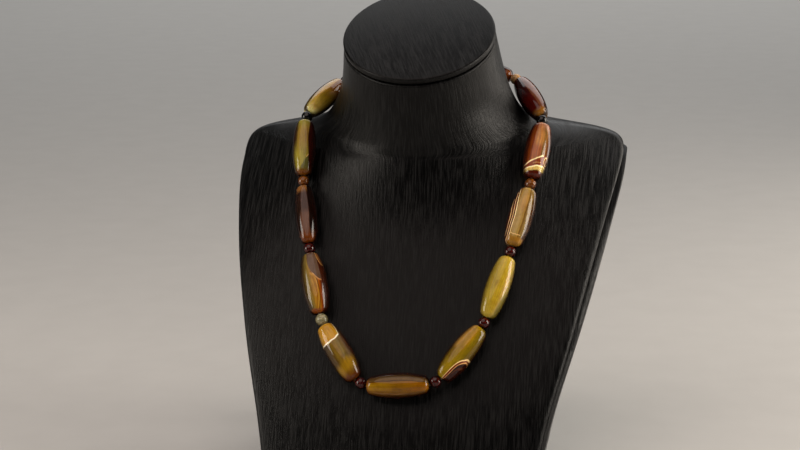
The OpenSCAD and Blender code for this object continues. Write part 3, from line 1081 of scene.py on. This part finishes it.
def leatherette_group():
    """Fine brushed streaks and pores of the black cover, along the given grain."""
    tree, inlet, sink = new_group(
        "leatherette",
        "ShaderNodeTree",
        {"Slant": (FLOAT, 0.0)},
        {"Tone": FLOAT, "Height": FLOAT},
    )
    u, v, w = xyz(add_node(tree, "ShaderNodeAttribute", "Vector", {"attribute_name": "grain"}))
    u = u + v * inlet["Slant"]
    streaks = noise(joined(u, v / 16.0, w), scale=1500.0, detail=3.0, roughness=0.6)
    patches = noise(joined(u, v / 6.0, w), scale=300.0, detail=2.0, roughness=0.5)
    pores = noise(joined(u, v / 1.5, w), scale=2600.0, detail=2.0, roughness=0.5)
    plug(streaks * 0.8 + patches * 0.2, sink.inputs["Tone"])
    plug(streaks * 0.7 + pores * 0.3, sink.inputs["Height"])
    return tree


def scaled(tint, share):
    """A screen colour in linear light, made darker or lighter."""
    return [part * share for part in shade(tint)[:3]] + [1.0]


def leatherette_material(name, group, tint, slant, gloss, bump):
    """Black leatherette whose raised streaks are lighter and less glossy."""
    material, tree, shader = new_material(name)
    cover = placed_group(tree, group, Slant=slant)
    tone = cover["Tone"].fade(0.42, 0.66)
    hollow, top = scaled(tint, HOLLOW_SHARE), scaled(tint, TOP_SHARE)
    plug(mixed(tree, tone, hollow, top), shader.inputs["Base Color"])
    plug(tone * 0.2 + gloss, shader.inputs["Roughness"])
    shader.inputs["Specular IOR Level"].default_value = 0.16
    relief = cover["Height"]
    normal = add_node(tree, "ShaderNodeBump", Strength=bump, Distance=0.0003, Height=relief)
    plug(normal, shader.inputs["Normal"])
    return material


def add_bust():
    """The front shell, the back and the lid, in their black covers."""
    group = leatherette_group()
    cover = leatherette_material("leatherette_cover", group, "#0b0b0b", slant=0.0, gloss=0.28, bump=0.8)
    lid_cover = leatherette_material("leatherette_lid", group, "#0a0a0a", slant=0.4, gloss=0.3, bump=0.3)
    shell = skin_mesh("bust_front", SHELL_ROWS, front_count=240, rear_count=110, soft=2.8)
    add_piece("bust_front", shell, cover)
    back = skin_mesh("bust_back", BACK_ROWS, front_count=100, rear_count=120, soft=0.8)
    add_piece("bust_back", back, cover)
    add_piece("bust_lid", lid_mesh(), lid_cover)


# String

LONG_SHAPE = {"End_Share": 0.61, "Fullness": 2.3, "Edge": 1.9 * MM, "Hole": 1.6 * MM}


def ball_shape(lie):
    """A ball that is cut flat at both ends, where its hole opens."""
    flat_share = math.sqrt(max(1 - (2 * lie.half / lie.girth) ** 2, 0.04))
    return {
        "End_Share": flat_share,
        "Roundness": 2.0,
        "Edge": 0.02 * MM,
        "Hole": flat_share * lie.girth * 0.7,
        "Rings": 40,
        "Sides": 48,
    }


def add_beads():
    """Every long and round bead, turned to its lie on the string."""
    groups = {
        "stone": stone_group(),
        "band": band_group(),
        "ring": ring_group(),
        "depth": depth_group(),
    }
    tree = turned_bead_tree()
    balls = {slot: ball_material(slot, groups) for slot in BALL_TINTS}
    for name, lie in string_lies().items():
        if name.startswith("long"):
            shape = LONG_SHAPE
            material = agate_material(name, groups, RECIPES[name])
        elif name.startswith("round"):
            shape = ball_shape(lie)
            material = balls[SLOTS[name]]
        else:
            continue
        mesh = grown_mesh(tree, name, Length=2 * lie.half, Girth=lie.girth, Material=material, **shape)
        mesh.transform(lie.matrix())
        add_piece(name, mesh, material)


def add_smooth_copy(node, material):
    """A CAD node's own mesh, merged and shaded smooth, as the finished piece."""
    shape = bmesh.new()
    shape.from_mesh(NODES[node].data)
    bmesh.ops.remove_doubles(shape, verts=shape.verts, dist=1e-6)
    add_piece(node, finished_mesh(shape, node, FINDING_EDGE_ANGLE), material)


def add_findings():
    """The thread through the beads, and the clasp."""
    material, tree, shader = new_material("thread_fibre")
    twist = noise(add_node(tree, "ShaderNodeTexCoord", "Object"), scale=2500.0)
    plug(mixed(tree, twist, shade("#3a2c20"), shade("#7a6448")), shader.inputs["Base Color"])
    shader.inputs["Roughness"].default_value = 0.8
    add_smooth_copy("thread", material)

    material, tree, shader = new_material("clasp_plating")
    wear = noise(add_node(tree, "ShaderNodeTexCoord", "Object"), scale=900.0, detail=3.0)
    plug(mixed(tree, wear, shade("#8c8a84"), shade("#c8c4ba")), shader.inputs["Base Color"])
    plug(wear * 0.25 + 0.2, shader.inputs["Roughness"])
    shader.inputs["Metallic"].default_value = 1.0
    add_smooth_copy("clasp", material)


# Floor, light and camera

def camera_axes():
    """The camera's right, up and backward directions."""
    right = VIEW.cross(Vector((0, 0, 1))).normalized()
    up = right.cross(VIEW)
    level, lean = math.cos(CAMERA_ROLL), math.sin(CAMERA_ROLL)
    return right * level - up * lean, right * lean + up * level, -VIEW


def add_camera():
    """The camera at the photograph's angle."""
    right, up, back = camera_axes()
    data = bpy.data.cameras.new("camera")
    data.lens = CAMERA_LENS
    data.sensor_width = 36
    data.clip_start = 0.01
    data.clip_end = 50
    camera = bpy.data.objects.new("camera", data)
    turn = Matrix((right, up, back)).transposed().to_4x4()
    camera.matrix_world = Matrix.Translation(CAMERA_TARGET + back * CAMERA_DISTANCE) @ turn
    bpy.context.scene.collection.objects.link(camera)
    bpy.context.scene.camera = camera


# Light panels, in metres: where each stands, its width and height, and how bright it is
WARM = "#fff6ea"
LIGHTS = {
    "left_box": {"place": (-0.74, -0.36, 0.30), "size": (0.34, 0.45), "radiance": 6.5, "tint": WARM},
    "right_box": {"place": (0.80, -0.02, 0.30), "size": (0.34, 0.66), "radiance": 9, "tint": WARM},
    "rear_box": {"place": (0.68, 0.56, 0.34), "size": (0.30, 0.76), "radiance": 3.5, "tint": WARM},
    "overhead": {
        "place": (-0.13, -0.38, 0.95),
        "size": (1.16, 1.2),
        "radiance": 1.0,
        "tint": "#ffece2",
        "shape": "ELLIPSE",
    },
    "floor_light": {"place": (0, 2.6, 2.1), "aim": (0, 1.7, 0), "size": (3.5, 2.5), "radiance": 1.8},
}
BUST_MIDDLE = (0, -0.02, 0.13)
SKY_STRENGTH = 0.05
FLOOR_REACH = 6


def add_light(name, place, size, radiance, aim=BUST_MIDDLE, tint="#ffffff", shape="RECTANGLE"):
    """A light panel that looks at a point."""
    width, height = size
    data = bpy.data.lights.new(name, "AREA")
    data.shape = shape
    data.size = width
    data.size_y = height
    data.energy = radiance * math.pi * width * height
    data.color = shade(tint)[:3]
    light = bpy.data.objects.new(name, data)
    turn = (Vector(place) - Vector(aim)).to_track_quat("Z", "Y").to_matrix().to_4x4()
    light.matrix_world = Matrix.Translation(place) @ turn
    bpy.context.scene.collection.objects.link(light)


def add_floor():
    """A wide pale floor with a faint speckle."""
    reach = FLOOR_REACH
    mesh = bpy.data.meshes.new("floor")
    corners = [(-reach, -reach, 0), (reach, -reach, 0), (reach, reach, 0), (-reach, reach, 0)]
    mesh.from_pydata(corners, [], [(0, 1, 2, 3)])
    material, tree, shader = new_material("floor")
    speck = noise(add_node(tree, "ShaderNodeTexCoord", "Object"), scale=40.0, detail=3.0)
    plug(mixed(tree, speck, shade("#bab8b4"), shade("#c2c0bc")), shader.inputs["Base Color"])
    shader.inputs["Roughness"].default_value = 0.9
    mesh.materials.append(material)
    floor = bpy.data.objects.new("floor", mesh)
    bpy.context.scene.collection.objects.link(floor)


def add_studio():
    """A faint even sky, the light panels and the floor."""
    world = bpy.data.worlds.new("studio")
    world.use_nodes = True
    sky = world.node_tree.nodes["Background"]
    sky.inputs["Color"].default_value = (1, 1, 1, 1)
    sky.inputs["Strength"].default_value = SKY_STRENGTH
    bpy.context.scene.world = world
    bpy.context.scene.view_settings.view_transform = "Standard"
    for name, light in LIGHTS.items():
        add_light(name, **light)
    add_floor()


add_bust()
add_beads()
add_findings()
add_studio()
add_camera()
